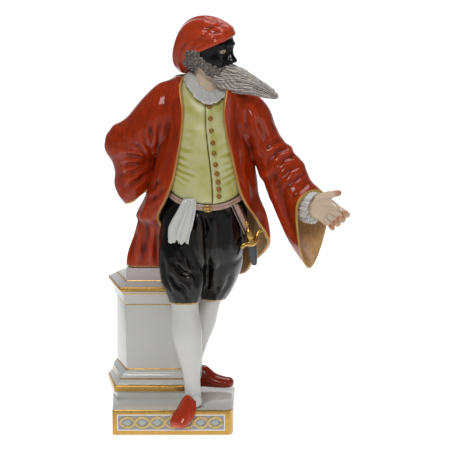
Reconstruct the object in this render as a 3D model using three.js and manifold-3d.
// A glazed porcelain figure of a masked comedy player: he leans back on a low pedestal,
// one hand behind him under his long open coat and the other held out.
// Millimetres, +Z up, seen from -Y. The origin is the middle of the plinth's underside.
import * as THREE from "three";
import { mergeVertices } from "three/addons/utils/BufferGeometryUtils.js";
import Module from "manifold-3d";

// Driving dimensions of the base
const PLINTH_WIDTH = 43; // along its front
const PLINTH_DEPTH = 37;
const PLINTH_HEIGHT = 9.3;
const PLINTH_SPLAY = 1.7; // degrees, each side, wider to the back
const BORDER = 1.7; // the gilt frame round the front panel
const PANEL_DEPTH = 0.45;
const RING_COUNT = 7; // guilloche
const RING_RADIUS = 2.25;
const BAND_WIDTH = 0.75;
const BAND_RELIEF = 0.4;
const SHAFT_WIDTH = 23.2; // the pedestal's shaft, along its front
const SHAFT_DEPTH = 15.4;
const SHAFT_HEIGHT = 24.2;
const SHAFT_SPLAY = 9; // degrees, each side, wider to the back
const SHAFT_SETBACK = 19.4; // from the plinth's front to the shaft's
const SHAFT_OFFSET = 7.1; // from the plinth's middle to the shaft's, to the figure's right
const BASE_MOULDING = 10.3; // height, below the shaft
const BASE_PROJECTION = 3.4;
const CAP_MOULDING = 8.7; // height, above the shaft
const CAP_PROJECTION = 2.9;
const ATTIC_HEIGHT = 4.4;

// Driving dimensions of the figure
const FIGURE_HEIGHT = 138.5; // from the soles to the top of the cap
const COAT_WALL = 1.5; // at the hem
const CHEST_LINING = 1.2; // more of it where the coat lies on the chest and the shoulders
const HIP_LINING = 9; // more of it where the coat is drawn back over the right hip
const CUFF_WALL = 1.1;
const CUFF_DEPTH = 0.34; // hollow share of the sleeve's length
const BUTTON_COUNT = 10;
const BUTTON_RADIUS = 1;
const BELT_WIDTH = 2.2;
const CLEARANCE = 0.3; // between the figure, the pedestal and the plinth

const { sin, cos, tan, PI, exp, max, min, floor, hypot } = Math;
const radians = (degrees) => (degrees * PI) / 180;
const mix = (a, b, t) => a + (b - a) * t;
const clamp = (t) => min(1, max(0, t));
const smooth = (t) => clamp(t) ** 2 * (3 - 2 * clamp(t));
const bump = (x, centre, width) => exp(-(((x - centre) / width) ** 2));
const vec = (x, y, z) => new THREE.Vector3(x, y, z);
const steps = (count, make) => Array.from({ length: count + 1 }, (_, i) => make(i / count));
const turn = (sides, make) => Array.from({ length: sides }, (_, i) => make((i / sides) * 2 * PI));

// The figure's pose is drawn at this height, with the soles at 9.6, and takes its real size from above
const POSE_HEIGHT = 138.5;
const POSE_SOLE = 9.6;
const share = FIGURE_HEIGHT / POSE_HEIGHT;
const soles = PLINTH_HEIGHT + CLEARANCE;
const posed = (p) => vec(p.x * share, p.y * share, soles + (p.z - POSE_SOLE) * share);

// Solids

const wasm = await Module();
wasm.setup();

function solid(points, index) {
  let sixVolumes = 0;
  for (let i = 0; i < index.length; i += 3)
    sixVolumes += points[index[i]].dot(points[index[i + 1]].clone().cross(points[index[i + 2]]));
  if (sixVolumes < 0) index.reverse();
  const merged = mergeVertices(new THREE.BufferGeometry().setFromPoints(points).setIndex(index), 1e-4);
  return new wasm.Manifold(
    new wasm.Mesh({
      numProp: 3,
      vertProperties: merged.attributes.position.array,
      triVerts: new Uint32Array(merged.index.array),
    }),
  );
}

const joined = (solids) => solids.reduce((all, next) => all.add(next));

// Rings of as many points each, skinned one to the next and closed at both ends
function loft(rings) {
  const count = rings[0].length;
  const points = rings.flat();
  const index = [];
  const at = (ring, i) => ring * count + (i % count);
  for (let r = 0; r + 1 < rings.length; r++)
    for (let i = 0; i < count; i++)
      index.push(at(r, i), at(r, i + 1), at(r + 1, i), at(r, i + 1), at(r + 1, i + 1), at(r + 1, i));
  const close = (ring, flip) => {
    const centre = rings[ring].reduce((sum, p) => sum.add(p), vec(0, 0, 0)).divideScalar(count);
    points.push(centre);
    for (let i = 0; i < count; i++)
      index.push(points.length - 1, at(ring, i + (flip ? 1 : 0)), at(ring, i + (flip ? 0 : 1)));
  };
  close(0, true);
  close(rings.length - 1, false);
  return solid(points, index);
}

// A wall between two grids of points, outside and inside, closed along its four edges
function shell(outside, inside) {
  const rows = outside.length;
  const columns = outside[0].length;
  const points = [...outside.flat(), ...inside.flat()];
  const index = [];
  const at = (side, r, c) => side * rows * columns + r * columns + c;
  const quad = (a, b, c, d) => index.push(a, b, c, a, c, d);
  for (let r = 0; r + 1 < rows; r++)
    for (let c = 0; c + 1 < columns; c++) {
      quad(at(0, r, c), at(0, r + 1, c), at(0, r + 1, c + 1), at(0, r, c + 1));
      quad(at(1, r, c), at(1, r, c + 1), at(1, r + 1, c + 1), at(1, r + 1, c));
    }
  for (let r = 0; r + 1 < rows; r++) {
    quad(at(0, r, 0), at(1, r, 0), at(1, r + 1, 0), at(0, r + 1, 0));
    quad(at(0, r + 1, columns - 1), at(1, r + 1, columns - 1), at(1, r, columns - 1), at(0, r, columns - 1));
  }
  for (let c = 0; c + 1 < columns; c++) {
    quad(at(0, 0, c + 1), at(1, 0, c + 1), at(1, 0, c), at(0, 0, c));
    quad(at(0, rows - 1, c), at(1, rows - 1, c), at(1, rows - 1, c + 1), at(0, rows - 1, c + 1));
  }
  return solid(points, index);
}

// Every number of the stations, on a smooth curve through them, at u from 0 to 1
function between(stations, u) {
  const last = stations.length - 1;
  const s = clamp(u) * last;
  const k = min(last - 1, floor(s));
  const t = s - k;
  const four = [max(0, k - 1), k, k + 1, min(last, k + 2)].map((i) => stations[i]);
  const curve = ([p0, p1, p2, p3]) =>
    p1 + 0.5 * t * (p2 - p0 + t * (2 * p0 - 5 * p1 + 4 * p2 - p3 + t * (3 * (p1 - p2) + p3 - p0)));
  return stations[0].map((_, i) => curve(four.map((station) => station[i])));
}

// The same at a height, for stations that start with one and run downwards
function atHeight(stations, z) {
  const last = stations.length - 1;
  let k = 0;
  while (k < last - 1 && z < stations[k + 1][0]) k++;
  const t = clamp((stations[k][0] - z) / (stations[k][0] - stations[k + 1][0]));
  return between(stations, (k + t) / last);
}

// A body of level rings: stations are [z, x, y, half width, front depth, back depth]. carve(angle, z)
// moves the surface out, with angle 0 at the front and PI / 2 at the figure's left.
function ringPoint([z, x, y, wide, fore, deep], angle, out, drop = 0) {
  const depth = cos(angle) > 0 ? fore : deep;
  return posed(vec(x + (wide + out) * sin(angle), y - (depth + out) * cos(angle), z - drop * cos(angle)));
}

function body(stations, { rings, sides, carve = () => 0, drop = () => 0 }) {
  return loft(
    steps(rings, (u) => {
      const station = between(stations, u);
      return turn(sides, (angle) => ringPoint(station, angle, carve(angle, station[0]), drop(u)));
    }),
  );
}

// A limb: stations are [x, y, z, yaw, pitch, rise, fall, half width], the heading in degrees and the
// section's reach above and below its middle. point narrows the underside, from 0 to 1.
function limbRing(station, sides, { inset = 0, point = 0, carve = () => 0, u = 0 }) {
  const [x, y, z, yaw, pitch, rise, fall, wide] = station;
  const [a, b] = [radians(yaw), radians(pitch)];
  const ahead = vec(cos(a) * cos(b), sin(a) * cos(b), sin(b));
  const side = vec(-sin(a), cos(a), 0);
  const up = ahead.clone().cross(side);
  return turn(sides, (angle) => {
    const out = carve(angle, u) - inset;
    const reach = (cos(angle) > 0 ? rise : fall) + out;
    const narrow = 1 - point * ((1 - cos(angle)) / 2) ** 2;
    return posed(
      vec(x, y, z)
        .addScaledVector(up, reach * cos(angle))
        .addScaledVector(side, (wide + out) * sin(angle) * narrow),
    );
  });
}

function limb(stations, { rings, sides, carve, point = () => 0 }) {
  return loft(
    steps(rings, (u) => limbRing(between(stations, u), sides, { carve, u, point: point(u) })),
  );
}

// A limb whose last stretch is hollow: a wide sleeve
function sleeve(stations, { rings, sides, carve, point, hollow }) {
  const ring = (u, inset) =>
    limbRing(between(stations, u), sides, { carve, u, inset, point: point(u) });
  const innerRings = 3;
  return loft([
    ...steps(rings, (u) => ring(u, 0)),
    ...steps(innerRings, (t) => ring(1 - hollow * t, CUFF_WALL * mix(1, 2.2, t))),
  ]);
}

// The base

// Corners of a splayed block, grown outwards by out: front left, front right, back right, back left
function splayed({ x, y, width, depth, splay }, out, z) {
  const slant = tan(radians(splay));
  const half = width / 2 + out / cos(radians(splay));
  const front = y - out;
  const back = y + depth + out;
  const corner = (side, edge) => vec(x + side * (half + (edge - y) * slant), edge, z);
  return [corner(-1, front), corner(1, front), corner(1, back), corner(-1, back)];
}

function box(x0, x1, y0, y1, z0, z1) {
  const geometry = new THREE.BoxGeometry(x1 - x0, y1 - y0, z1 - z0);
  geometry.translate((x0 + x1) / 2, (y0 + y1) / 2, (z0 + z1) / 2);
  geometry.deleteAttribute("normal");
  geometry.deleteAttribute("uv");
  const merged = mergeVertices(geometry, 1e-4);
  const p = merged.attributes.position;
  const points = Array.from({ length: p.count }, (_, i) => vec(p.getX(i), p.getY(i), p.getZ(i)));
  return solid(points, [...merged.index.array]);
}

const plinthPlan = {
  x: 0,
  y: -PLINTH_DEPTH / 2,
  width: PLINTH_WIDTH,
  depth: PLINTH_DEPTH,
  splay: PLINTH_SPLAY,
};

// One band of the guilloche: a ribbon on a wave round the rings, its ends meeting the other band's
function guillocheBand(side) {
  const stepsPerRing = 4;
  const endRoom = 1.5 * BAND_WIDTH;
  const pitch = (PLINTH_WIDTH - 2 * (BORDER + endRoom)) / RING_COUNT;
  const ground = -PLINTH_DEPTH / 2 + PANEL_DEPTH;
  const sunk = 0.4;
  const crest = 0.6; // share of the band's width
  const middle = PLINTH_HEIGHT / 2;
  const swing = RING_RADIUS - BAND_WIDTH / 2;
  const along = (t) => {
    const phase = t * RING_COUNT;
    const ring = (phase % 1) * PI;
    const height = side * (floor(phase) % 2 ? -1 : 1) * swing * sin(ring) ** 0.8;
    return [(phase - RING_COUNT / 2) * pitch, middle + height];
  };
  const rings = steps(RING_COUNT * stepsPerRing, (t) => {
    const gap = 0.25 / (RING_COUNT * stepsPerRing);
    const [x0, z0] = along(max(0, t - gap));
    const [x1, z1] = along(min(0.99999, t + gap));
    const [x, z] = along(min(0.99999, t));
    const length = hypot(x1 - x0, z1 - z0);
    const [nx, nz] = [(-(z1 - z0) / length) * (BAND_WIDTH / 2), ((x1 - x0) / length) * (BAND_WIDTH / 2)];
    return [
      vec(x - nx, ground + sunk, z - nz),
      vec(x - nx * crest, ground - BAND_RELIEF, z - nz * crest),
      vec(x + nx * crest, ground - BAND_RELIEF, z + nz * crest),
      vec(x + nx, ground + sunk, z + nz),
    ];
  });
  return loft(rings);
}

function plinth() {
  const edge = 0.35; // a soft arris round the top
  const block = loft([
    splayed(plinthPlan, 0, 0),
    splayed(plinthPlan, 0, PLINTH_HEIGHT - edge),
    splayed(plinthPlan, -edge, PLINTH_HEIGHT),
  ]);
  const half = PLINTH_WIDTH / 2 - BORDER;
  const front = -PLINTH_DEPTH / 2;
  const panel = box(-half, half, front - 1, front + PANEL_DEPTH, BORDER, PLINTH_HEIGHT - BORDER);
  return joined([block.subtract(panel), guillocheBand(1), guillocheBand(-1)]);
}

const shaftPlan = {
  x: -SHAFT_OFFSET,
  y: -PLINTH_DEPTH / 2 + SHAFT_SETBACK,
  width: SHAFT_WIDTH,
  depth: SHAFT_DEPTH,
  splay: SHAFT_SPLAY,
};
const shaftFoot = PLINTH_HEIGHT + CLEARANCE + BASE_MOULDING;
const shaftHead = shaftFoot + SHAFT_HEIGHT;
const atticFoot = shaftHead + CAP_MOULDING;
const pedestalTop = atticFoot + ATTIC_HEIGHT;

// Mouldings as [share of the height, share of the projection]
const BASE_PROFILE = [
  [0, 0.4], [0.18, 0.36], [0.22, 0.78], [0.3, 1], [0.4, 1], [0.48, 0.8],
  [0.56, 0.78], [0.6, 0.58], [0.8, 0.42], [0.84, 0.36], [0.9, 0.3], [1, 0],
];
const CAP_PROFILE = [
  [0, 0], [0.06, 0.22], [0.16, 0.24], [0.3, 0.3], [0.42, 0.52], [0.48, 0.56],
  [0.56, 0.78], [0.66, 1], [0.76, 0.98], [1, 0.5],
];
const ATTIC_PROFILE = [[0, -1.3], [0.35, -1.6], [1, -1.75]];

// Every level of the pedestal, grown outwards by out
function pedestalLevels(out) {
  const levels = (profile, foot, height, projection) =>
    profile.map(([z, reach]) => splayed(shaftPlan, reach * projection + out, foot + z * height));
  return [
    ...levels(BASE_PROFILE, PLINTH_HEIGHT + CLEARANCE, BASE_MOULDING, BASE_PROJECTION),
    ...levels(CAP_PROFILE, shaftHead, CAP_MOULDING, CAP_PROJECTION),
    ...levels(ATTIC_PROFILE, atticFoot, ATTIC_HEIGHT, CAP_PROJECTION / 2),
  ];
}

const pedestal = () => loft(pedestalLevels(0));

// The coat: an open shell from the collar to the hem
// [z, x, y, half width, front depth, back depth, right edge, left edge], edges in degrees off the front
const COAT = [
  [127, 11.8, 2.6, 9.4, 8.4, 7.4, -84, 84],
  [124, 11.6, 2, 14.2, 11.4, 9.8, -46, 44],
  [116.5, 12, 1.6, 16.2, 13.4, 11.8, -31.5, 25],
  [108, 12, 1.2, 15.6, 14.8, 12.6, -34, 28],
  [99, 11.8, 0.8, 17.2, 16.2, 13.2, -36, 34.5],
  [91, 11.4, 0.6, 18.9, 16.4, 13.8, -37, 39],
  [84, 10.6, 0.8, 20.4, 15, 14.6, -40, 46.5],
  [77, 10.3, 1.4, 23.3, 10.8, 15.4, -42, 55],
  [70, 10, 2, 24.8, 7, 15.8, -40, 76],
  [63, 9.3, 2.4, 25.6, 4, 15.8, -36, 84],
  [56, 8.8, 3, 25.4, 2, 15.8, -32, 86],
];

const coatTop = COAT[0][0];
const pedestalTopInPose = POSE_SOLE + (pedestalTop + CLEARANCE - soles) / share;

// The hem lies on the pedestal on the figure's right, dips behind its left and rises to the front corner
function hemHeight(t) {
  const onPedestal = pedestalTopInPose + 0.1;
  const lowest = 52;
  const frontCorner = 68.2;
  const dip = mix(onPedestal, lowest, smooth((t - 0.58) / 0.14));
  return mix(dip, frontCorner, smooth((t - 0.76) / 0.24));
}

// Hanging folds, deeper towards the hem, and the overlap where the right front is drawn back
function coatFolds(angle, z) {
  const depth = 1.15 * smooth((98 - z) / 40);
  const folds = cos(7 * angle + 0.6) + 0.45 * cos(12 * angle + 1.9);
  const back = 0.5 * smooth((120 - z) / 20) * cos(5 * angle) * smooth(-cos(angle) * 2);
  const overlapDepth = 1.5;
  const overlapHeight = 76.5;
  const onRight = bump(angle, -1.4, 0.75);
  const below = smooth((overlapHeight - z) / 2.5) * smooth((z - 58) / 12);
  return depth * folds + back - overlapDepth * onRight * below;
}

function coatPoint(t, v, wall) {
  const z = mix(coatTop, hemHeight(t), v);
  const row = atHeight(COAT, z);
  const [right, left] = [radians(row[6]), radians(row[7])];
  const angle = right - t * (2 * PI - left + right);
  const wrapped = angle < -PI ? angle + 2 * PI : angle;
  return ringPoint([z, ...row.slice(1, 6)], wrapped, coatFolds(wrapped, z) - wall(t, v));
}

function coat() {
  const columns = 22;
  const rows = 10;
  const grid = (wall) => steps(rows, (v) => steps(columns, (t) => coatPoint(t, v, wall)));
  const lined = (t, v) => {
    const onChest = smooth(1 - 1.9 * v);
    const onHip = smooth(1 - 4.2 * t) * smooth((v - 0.42) / 0.2);
    return COAT_WALL + CHEST_LINING * onChest + HIP_LINING * onHip;
  };
  return shell(grid(() => 0), grid(lined));
}

// Right arm akimbo, its wide sleeve turning back behind the hip
const RIGHT_SLEEVE = [
  [9, 1.6, 114, 180, -4, 9, 7, 7],
  [2.4, 1.6, 114.2, 180, -18, 12.6, 9, 9],
  [-4.4, 1.9, 112.2, 180, -36, 9.4, 9, 8.8],
  [-11.5, 2.8, 106.4, 180, -44, 7.9, 10, 8.2],
  [-16.8, 4, 101, 184, -70, 9, 12, 7.6],
  [-15.4, 6.2, 95, 194, -104, 6.2, 12, 7.2],
  [-12.6, 8.4, 90, 206, -120, 9.6, 9, 7],
  [-9.6, 10.4, 88.2, 214, -132, 11.2, 6, 6.8],
];

// Left arm held down and out, the cuff a hanging bell
const LEFT_SLEEVE = [
  [14, 1.2, 112.6, 0, -4, 8, 7, 7],
  [20.8, 1, 112.2, 0, -18, 12, 8, 9.5],
  [27.3, 0.6, 109.2, -2, -40, 10, 8.2, 9.2],
  [32.6, -0.3, 103.6, -5, -52, 6.2, 8.2, 8.4],
  [36.8, -2, 97.2, -12, -52, 6.4, 8, 7.8],
  [41, -4.6, 91, -22, -47, 7.9, 8.7, 7.4],
  [45, -7.2, 86.8, -31, -36, 5.8, 13, 7.4],
  [48, -9.5, 83.3, -38, -20, 5.4, 17.8, 7.9],
  [50, -11.5, 80.5, -45, -4, 5.9, 21.8, 8.8],
];

const sleeveFolds = (centre, width, depth, count) => (angle, u) =>
  depth * bump(u, centre, width) * cos(count * 2 * PI * u + 1.5 * sin(angle));

function sleeves() {
  const right = sleeve(RIGHT_SLEEVE, {
    rings: 13,
    sides: 12,
    point: () => 0,
    hollow: 0.12,
    carve: sleeveFolds(0.62, 0.2, 0.7, 7),
  });
  const left = sleeve(LEFT_SLEEVE, {
    rings: 14,
    sides: 14,
    point: (u) => 0.48 * smooth((u - 0.6) / 0.4),
    hollow: CUFF_DEPTH,
    carve: sleeveFolds(0.5, 0.16, 0.55, 9),
  });
  return [right, left];
}

// Waistcoat, in one with the chest: [z, x, y, half width, front depth, back depth]
const WAISTCOAT = [
  [122.4, 12, 1.2, 8.4, 8.2, 7.4],
  [120.6, 12, 1.6, 11.8, 10.6, 9.2],
  [115, 12, 1.5, 14.2, 12.4, 11],
  [108, 12, 1.2, 14.6, 13.7, 11.8],
  [99, 11.8, 0.8, 15.2, 14.9, 12.4],
  [91, 11.6, 0.4, 15.4, 15.6, 12.6],
  [85, 11.6, 0.2, 15, 15.4, 12.4],
  [82.4, 11.6, 0.1, 14, 14, 12],
  [78, 11.6, 0, 13.2, 12.8, 11.6],
  [66, 11.6, 0, 12.6, 11.4, 11.2],
];
const NECKLINE_DIP = 4.6; // how much lower the neck is cut in front

// Creases across the belly, from the buttons out to the sides
const bellyCreases = (angle, z) =>
  0.28 * bump(z, 91, 8) * cos(angle) ** 2 * sin(2.1 * z + 3 * cos(2 * angle)) * (cos(angle) > 0 ? 1 : 0);

function buttons() {
  const [highest, lowest] = [114.8, 85.8];
  const [highestTurn, lowestTurn] = [3, 14]; // degrees off the front
  const shank = 1.2 * share; // how far a button reaches into the chest
  const proud = 0.55;
  return steps(BUTTON_COUNT - 1, (t) => {
    const z = mix(highest, lowest, t);
    const row = atHeight(WAISTCOAT, z);
    const angle = radians(mix(highestTurn, lowestTurn, smooth(t)));
    const on = ringPoint([z, ...row.slice(1)], angle, bellyCreases(angle, z));
    const ring = (radius, out) =>
      turn(6, (a) => vec(on.x + radius * cos(a), on.y - out, on.z + radius * sin(a)));
    return loft([ring(BUTTON_RADIUS, -shank), ring(BUTTON_RADIUS * 0.8, proud)]);
  });
}

function torso() {
  return [
    body(WAISTCOAT, {
      rings: 13,
      sides: 16,
      carve: bellyCreases,
      drop: (u) => NECKLINE_DIP * smooth(1 - 4.5 * u),
    }),
    ...buttons(),
  ];
}

// The belt dips in front, below the belly
const BELT_DIP = 1.7;
const BELT_HEIGHT = 83.7;

function belt() {
  const band = [
    [BELT_HEIGHT + BELT_WIDTH / 2, 11.6, 0, 14.6, 14.2, 12],
    [BELT_HEIGHT + BELT_WIDTH / 4, 11.6, 0, 15.1, 14.8, 12.2],
    [BELT_HEIGHT - BELT_WIDTH / 2, 11.6, 0, 14.9, 14.6, 12.2],
  ];
  const buckle = loft(
    steps(1, (t) =>
      turn(8, (a) => posed(vec(12.6 + 1.5 * cos(a), mix(-14, -15.5, t), 82 + 1.35 * sin(a)))),
    ),
  );
  return [body(band, { rings: 2, sides: 16, drop: () => BELT_DIP }), buckle];
}

// A handkerchief tucked into the belt, in hanging pleats
function handkerchief() {
  const stations = [
    [6.4, -13.6, 86.5, -90, -80, 1, 1, 1.4],
    [6.2, -15.4, 83.2, -92, -95, 1.1, 1, 2.4],
    [4.4, -14.9, 78.4, -94, -100, 1.1, 1, 2.8],
    [3, -14.2, 73.4, -94, -98, 1.2, 1, 3.2],
    [2.2, -13.8, 69, -94, -96, 1, 0.9, 3.3],
  ];
  const pleats = (angle, u) => 0.4 * smooth(u * 3) * cos(7 * angle);
  return limb(stations, { rings: 6, sides: 14, carve: pleats });
}

// Breeches: the hips, and two baggy legs gathered at the knee
function breeches() {
  const hips = [
    [84, 11.6, 0, 13.6, 13.2, 11.4],
    [80, 11.4, -0.2, 15, 13.8, 12.2],
    [74, 11, -0.6, 15.8, 13.6, 12.8],
    [68, 10.6, -0.8, 15.9, 13.2, 13],
    [62, 10.4, -0.6, 15.6, 12.4, 12.6],
    [58, 10.2, -0.4, 13.8, 10.6, 11.4],
  ];
  const gathers = (angle, z) => 0.5 * smooth((84 - z) / 6) * cos(10 * angle + 0.1 * z);
  const rightLeg = [
    [68, 4.4, -3.6, 9.2, 9.4, 9],
    [60, 3.8, -4.2, 9, 9.4, 8.8],
    [54, 4, -4.8, 8.4, 8.8, 8],
    [49.5, 4.2, -5.4, 6.8, 7, 6.4],
    [45.9, 4.2, -5.8, 5.3, 5.4, 5],
  ];
  const leftLeg = [
    [68, 17.6, 1.2, 9, 9, 9],
    [60, 17.2, 1.8, 8.8, 8.8, 8.8],
    [54, 16.4, 2.6, 7.6, 7.8, 7.6],
    [50, 16.1, 3.4, 6.6, 6.2, 6],
    [46.6, 15.1, 4, 4.7, 4.6, 4.4],
  ];
  const folds = (phase) => (angle, z) =>
    0.7 * smooth((72 - z) / 10) * smooth((z - 44) / 6) * cos(8 * angle + phase) +
    0.3 * smooth((60 - z) / 8) * cos(15 * angle + phase);
  return [
    body(hips, { rings: 4, sides: 20, carve: gathers }),
    body(rightLeg, { rings: 6, sides: 16, carve: folds(0.6) }),
    body(leftLeg, { rings: 6, sides: 16, carve: folds(2) }),
  ];
}

// Stockinged legs: [x, y, z, yaw, pitch, rise, fall, half width], heading down
function stockings() {
  const right = [
    [4.2, -5.6, 48, -90, -90, 4.7, 4.5, 4.7],
    [4.5, -6.6, 42, -90, -92, 4.9, 4.8, 5],
    [5, -7.6, 35.5, -90, -93, 5.2, 5.6, 5.5],
    [5.9, -8.6, 28, -90, -94, 4.2, 4.6, 4.6],
    [6.7, -9.8, 20.5, -90, -96, 3.1, 3.3, 3.2],
    [7.2, -10.8, 14.5, -90, -100, 2.9, 3.2, 2.9],
    [7.4, -11.4, 11, -90, -100, 2.2, 2.6, 2.3],
  ];
  const left = [
    [14.8, 4, 48.5, -90, -88, 4, 4, 4.1],
    [12.7, 5.4, 42, -90, -84, 4.4, 4.6, 4],
    [11, 7.6, 35, -90, -80, 4.4, 5.2, 4.2],
    [9, 10, 27.5, -90, -78, 3.5, 4, 3.4],
    [7.8, 12.2, 20.5, -90, -82, 2.8, 2.9, 2.6],
    [8.2, 13.6, 14, -90, -90, 2.5, 2.6, 2.5],
  ];
  return [limb(right, { rings: 8, sides: 10 }), limb(left, { rings: 7, sides: 9 })];
}

// Low shoes, the right toe hanging over the plinth's front edge
function shoes() {
  const right = [
    [9.4, -8.2, 12.6, -126, -10, 0.8, 1.2, 1.2],
    [8.4, -9.6, 12.8, -126, -12, 2.9, 2.8, 2.9],
    [6.7, -13.4, 12.2, -126, -24, 3.5, 2.6, 3.4],
    [4.4, -17.4, 9.6, -125, -34, 3.1, 2.6, 3.8],
    [2.4, -20.6, 6.6, -124, -38, 2.3, 2.1, 3.3],
    [1.3, -22.4, 4.9, -124, -38, 0.9, 0.9, 1.5],
  ];
  const left = [
    [5.2, 15.2, 12.4, -8, 0, 1, 1.4, 1.2],
    [6.2, 15.1, 13, -8, 0, 4.2, 3, 2.6],
    [10.4, 14.8, 13.3, -8, -10, 4.9, 3.3, 3],
    [14.6, 14.3, 12.3, -8, -14, 3.3, 2.4, 3.3],
    [18.8, 13.8, 11.5, -8, -4, 2.5, 1.6, 3.2],
    [21.9, 13.4, 11.3, -8, 0, 1.1, 1, 1.8],
  ];
  return [right, left].map((stations) => limb(stations, { rings: 7, sides: 10 }));
}

// The held-out hand, its ruffle, and the hand behind the back. Joints are [x, y, z, pitch].
const FINGERS = [
  {
    radius: 1.15,
    joints: [
      [53.6, -14, 84, 44], [55.8, -15.2, 86.2, 30],
      [58.2, -16.2, 87.2, 12], [60.2, -16.8, 87.6, 4],
    ],
  },
  {
    radius: 0.95,
    joints: [
      [57.8, -16.6, 82.8, -12], [60, -18, 82.2, -18],
      [61.8, -19.2, 81.4, -22], [63.2, -20.2, 80.8, -25],
    ],
  },
  {
    radius: 0.95,
    joints: [
      [58.2, -16.8, 81, -24], [60.2, -18.4, 80.2, -24],
      [62, -19.6, 79.6, -32], [63, -20.2, 79, -44],
    ],
  },
  {
    radius: 0.9,
    joints: [
      [57.9, -16.8, 79.2, -34], [59.5, -18.2, 78.4, -40],
      [60.8, -19.2, 77.4, -50], [61.3, -19.6, 76.5, -66],
    ],
  },
  {
    radius: 0.8,
    joints: [
      [56.8, -16.2, 78, -50], [57.9, -17.4, 76.8, -56],
      [58.3, -18.2, 75.5, -76], [58.2, -18.4, 74.6, -90],
    ],
  },
];

function finger({ radius, joints }) {
  const yaw = -32;
  const taper = [1, 1, 0.9, 0.5];
  const stations = joints.map(([x, y, z, pitch], i) => {
    const r = radius * taper[i];
    return [x, y, z, yaw, pitch, r, r, r];
  });
  return limb(stations, { rings: 3, sides: 5 });
}

function leftHand() {
  const palm = [
    [45, -8.8, 84.6, -30, -20, 2.4, 2.6, 2.2],
    [49, -11.2, 82.4, -32, -6, 3, 2.6, 2.3],
    [52.8, -13.6, 82.2, -32, -2, 3.1, 3.4, 2],
    [55.6, -15.4, 81.8, -32, -8, 3.7, 5.8, 1.9],
    [58.2, -16.8, 81.2, -32, -16, 3.2, 4.8, 1.6],
    [59.4, -17.4, 80.4, -32, -18, 2.4, 3.6, 1.1],
  ];
  const ruffle = [
    [49.6, -11.6, 82, -36, -8, 3, 3.4, 3],
    [50.8, -12.4, 81.8, -38, -8, 4, 6.6, 4],
    [52.8, -13.6, 81.4, -38, -8, 4.8, 9, 4.8],
  ];
  const pleats = (angle, u) => 0.45 * u * cos(9 * angle);
  return [
    limb(palm, { rings: 6, sides: 9 }),
    limb(ruffle, { rings: 3, sides: 18, carve: pleats }),
    ...FINGERS.map(finger),
  ];
}

function rightHand() {
  const back = [
    [-10, 10.4, 89.6, 40, -8, 2.6, 2.6, 2],
    [-6, 13.4, 88.6, 24, -6, 2.8, 2.8, 1.8],
    [-2, 14.6, 88, 8, -6, 3.4, 3.4, 1.7],
    [2.4, 15, 87.4, 0, -6, 3, 3, 1.4],
    [6, 15, 87, 0, -4, 1.4, 1.6, 0.9],
  ];
  const knuckles = (angle, u) => 0.35 * smooth((u - 0.5) * 2) * cos(6 * angle);
  return limb(back, { rings: 6, sides: 10, carve: knuckles });
}

// The head, drawn round its own middle, facing 60 degrees to the figure's left
const HEAD = { x: 13.4, y: -0.6, z: 136.4, facing: -30 };
function onHead(forward, side, up) {
  const a = radians(HEAD.facing);
  return posed(
    vec(
      HEAD.x + forward * cos(a) - side * sin(a),
      HEAD.y + forward * sin(a) + side * cos(a),
      HEAD.z + up,
    ),
  );
}

// Level rings about the head: [up, forward, half width, front depth, back depth]
function headForm(stations, { rings, sides, carve = () => 0 }) {
  return loft(
    steps(rings, (u) => {
      const [up, forward, wide, fore, deep] = between(stations, u);
      return turn(sides, (angle) => {
        const out = carve(angle, up);
        const reach = forward + ((cos(angle) > 0 ? fore : deep) + out) * cos(angle);
        return onHead(reach, (wide + out) * sin(angle), up);
      });
    }),
  );
}

function head() {
  const skull = [
    [-10.6, 4.4, 2.4, 2.4, 2.6],
    [-9, 2.6, 4.4, 5, 4.6],
    [-6, 0.8, 5.9, 7, 6],
    [-2, 0, 6.8, 7.9, 8],
    [2, 0, 7.2, 8.2, 9],
    [6, 0, 6.9, 7.6, 8.6],
    [9.6, 0, 4.4, 4.6, 5.4],
  ];
  const mask = [
    [-5.6, 1.4, 5.9, 7, 3],
    [-3.6, 0.9, 7, 7.9, 3],
    [-1.4, 0.5, 7.3, 8, 3],
    [0.8, 0.4, 7.5, 8.1, 3],
    [3.2, 0.3, 7.6, 8.6, 3],
    [5.6, 0.2, 7.2, 8, 3],
  ];
  const socketAngle = 0.42;
  const socketDepth = 0.9;
  const sockets = (angle, up) => {
    const aside = min(angle, 2 * PI - angle);
    return -socketDepth * bump(aside, socketAngle, 0.2) * bump(up, 0.2, 1.5);
  };
  const nose = [
    [-3.9, 8.2, 1.9, 2.5, 2],
    [-3.3, 8.2, 1.9, 3, 2],
    [-1.6, 8, 1.4, 2.1, 2],
    [1.6, 7.8, 1, 1, 2],
  ];
  const neck = [
    [12, 2, 116, 0, 90, 5.4, 5.4, 5.4],
    [12.4, 1.4, 124, -90, 86, 5, 5, 5.2],
    [13, 0.4, 131, -90, 84, 5, 5, 5.2],
  ];
  return [
    headForm(skull, { rings: 5, sides: 12 }),
    headForm(mask, { rings: 7, sides: 15, carve: sockets }),
    headForm(nose, { rings: 4, sides: 6 }),
    limb(neck, { rings: 3, sides: 9 }),
  ];
}

// Curls: bumps in staggered rows
const curls = (depth, round, rise) => (angle, up) => depth * cos(round * angle + rise * up) * cos(rise * up);

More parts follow.
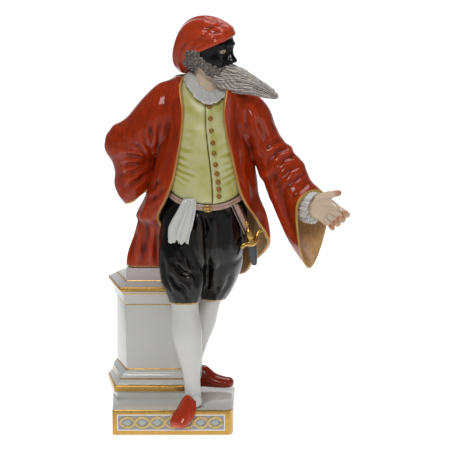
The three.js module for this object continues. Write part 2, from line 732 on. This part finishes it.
function hair() {
  const mop = [
    [-6.6, -3.6, 5, 2, 4.4],
    [-4.6, -2.2, 7.4, 3, 7.2],
    [-1.6, -1.4, 8.3, 3.4, 8.8],
    [2, -1.2, 8.4, 3.4, 9.4],
    [5, -1, 7.6, 3.4, 8.6],
  ];
  const moustache = [
    [-7.6, 6.4, 2.2, 1.2, 2],
    [-6.2, 6.6, 3.9, 1.9, 2],
    [-5, 7, 3, 2, 2],
    [-4.1, 7.2, 1.2, 1.4, 2],
  ];
  return [
    headForm(mop, { rings: 7, sides: 18, carve: curls(0.45, 9, 1.7) }),
    headForm(moustache, { rings: 4, sides: 9 }),
  ];
}

// A long pointed beard that juts forward and down, in wavy locks
function beard() {
  const chin = [
    [-11.6, 5, 2.6, 3, 3],
    [-9.6, 3.4, 5.2, 5.2, 4],
    [-7, 2, 6.8, 6.6, 4],
    [-4.4, 0.6, 7.4, 5, 3.6],
    [-1.8, -1.2, 7.6, 4.6, 3],
  ];
  const point = [
    [16.6, -2.6, 127.6, -30, -12, 4.2, 4.4, 5.4],
    [20.6, -4.9, 127.2, -30, -14, 4.3, 5.4, 5],
    [24.8, -7.2, 126.6, -29, -18, 3.4, 5.2, 4.1],
    [29, -9.6, 125.3, -29, -24, 2.4, 4, 3],
    [33.2, -12, 123.4, -29, -28, 1.8, 2.4, 1.9],
    [37.2, -14, 121.3, -28, -30, 0.8, 0.9, 0.9],
  ];
  const locks = (angle, u) => 0.38 * smooth(u * 4) * smooth((1 - u) * 3) * cos(6 * angle + 9 * u);
  return [
    headForm(chin, { rings: 6, sides: 14, carve: curls(0.35, 8, 1.9) }),
    limb(point, { rings: 8, sides: 11, carve: locks }),
  ];
}

// A soft cap: its brim rolls round the brow and its bag droops behind the right ear
function cap() {
  const bag = [
    [15.6, -2, 139.4, 172, 66, 6.8, 8.8, 8],
    [15, -1.5, 141.2, 172, 64, 7.8, 9.8, 9],
    [13.2, -0.4, 141.2, 172, 50, 8.2, 9.8, 9.3],
    [10.2, 1, 140.2, 172, 24, 9.1, 8.6, 9],
    [7, 2.6, 137.4, 172, -8, 9.5, 7, 8.6],
    [5, 4, 133.4, 172, -46, 6.2, 5, 7],
    [4.6, 5.2, 130, 172, -74, 4.3, 3.4, 5],
    [4.9, 5.8, 127.6, 172, -84, 1.8, 1.6, 2.4],
  ];
  const creases = (angle, u) => 0.35 * smooth(u * 5) * cos(7 * angle + 4 * u) * cos(3 * angle - 2);
  const brim = [
    [15.7, -2.2, 138.8, 172, 66, 6.8, 9, 8.2],
    [15.6, -2.1, 139.7, 172, 66, 7.6, 9.9, 8.9],
    [15.4, -1.9, 141, 172, 66, 7.2, 9.4, 8.6],
  ];
  return [
    limb(bag, { rings: 11, sides: 15, carve: creases }),
    limb(brim, { rings: 3, sides: 16 }),
  ];
}

// A pleated neckcloth, lower in front
function neckcloth() {
  const folds = [
    [120.6, 12.2, 0.8, 8.4, 9.6, 8.2],
    [122.4, 12.3, 0.6, 8.6, 9.8, 8.2],
    [124.6, 12.5, 0.3, 7.6, 8, 7.4],
    [126, 12.7, 0.1, 5.8, 6, 6],
  ];
  const pleats = (angle) => 0.3 * cos(12 * angle);
  return body(folds, { rings: 3, sides: 24, drop: () => NECKLINE_DIP, carve: pleats });
}

// The dagger in its frog: two bands, a gilt hilt with an S-shaped guard, and the sheath
function dagger() {
  const band = (path) =>
    limb(path.map((at) => [...at, -50, -78, 0.6, 0.6, 0.95]), { rings: 2, sides: 6 });
  const hilt = [
    [26.2, -6.9, 76.2, -70, -66, 0.9, 0.9, 0.9],
    [26.5, -6.8, 75, -70, -70, 1.3, 1.3, 1.3],
    [27.1, -6.6, 73.3, -70, -74, 0.85, 0.85, 0.9],
    [27.8, -6.3, 71.4, -70, -76, 1.3, 1.3, 1.3],
    [28.4, -6, 69.2, -70, -78, 1, 1, 1],
  ];
  const guard = [
    [24.4, -6.8, 66.8, 0, 70, 0.6, 0.6, 0.7],
    [25.2, -6.7, 68.2, 0, 20, 0.9, 0.9, 1],
    [28.1, -6.2, 69.2, 0, 12, 1.1, 1.2, 1.1],
    [30.5, -5.2, 70.4, 0, 30, 0.9, 0.9, 1],
    [31.8, -4.2, 72.2, 0, 80, 0.7, 0.7, 0.8],
  ];
  const sheath = [
    [28.4, -6, 69.4, -60, -84, 1.3, 1.6, 1.6],
    [28.8, -4.8, 65.4, -60, -86, 1.2, 1.8, 1.6],
    [29.2, -3.6, 61.6, -60, -88, 1, 1.6, 1.3],
    [29.4, -3, 59.2, -60, -88, 0.5, 0.6, 0.6],
  ];
  return [
    band([[22.2, -10.4, 84], [24.4, -8.2, 78], [26, -5.6, 71.4]]),
    band([[24.6, -8.4, 84.6], [26.6, -6, 79], [27.6, -4.8, 73]]),
    limb(hilt, { rings: 5, sides: 6 }),
    limb(guard, { rings: 6, sides: 6 }),
    limb(sheath, { rings: 3, sides: 7 }),
  ];
}

// The figure, and its seat on the pedestal and the plinth

function figure() {
  const whole = joined([
    ...torso(),
    coat(),
    ...sleeves(),
    ...belt(),
    handkerchief(),
    ...breeches(),
    ...stockings(),
    ...shoes(),
    ...leftHand(),
    rightHand(),
    ...head(),
    ...hair(),
    ...beard(),
    ...cap(),
    neckcloth(),
    ...dagger(),
  ]);
  const grown = pedestalLevels(CLEARANCE);
  const lid = grown.at(-1).map((corner) => corner.clone().setZ(pedestalTop + CLEARANCE));
  const pedestalRoom = loft([...grown, lid]);
  const plinthRoom = loft([
    splayed(plinthPlan, CLEARANCE, -1),
    splayed(plinthPlan, CLEARANCE, PLINTH_HEIGHT + CLEARANCE),
  ]);
  return whole.subtract(pedestalRoom).subtract(plinthRoom);
}

// The three castings as named meshes

function geometryOf(manifold) {
  const mesh = manifold.getMesh();
  const stride = mesh.numProp;
  const positions = new Float32Array(mesh.numVert * 3);
  for (let i = 0; i < mesh.numVert; i++)
    positions.set(mesh.vertProperties.subarray(i * stride, i * stride + 3), i * 3);
  return new THREE.BufferGeometry()
    .setAttribute("position", new THREE.BufferAttribute(positions, 3))
    .setIndex(new THREE.BufferAttribute(mesh.triVerts, 1));
}

function piece(name, manifold, color) {
  const material = new THREE.MeshStandardMaterial({ color, roughness: 0.15, metalness: 0 });
  const mesh = new THREE.Mesh(geometryOf(manifold), material);
  mesh.name = name;
  return mesh;
}

const WHITE_GLAZE = "#e9e9e6";
const IRON_RED = "#a8321c";

const group = new THREE.Group();
group.add(piece("plinth", plinth(), WHITE_GLAZE));
group.add(piece("pedestal", pedestal(), WHITE_GLAZE));
group.add(piece("figure", figure(), IRON_RED));

export default group;
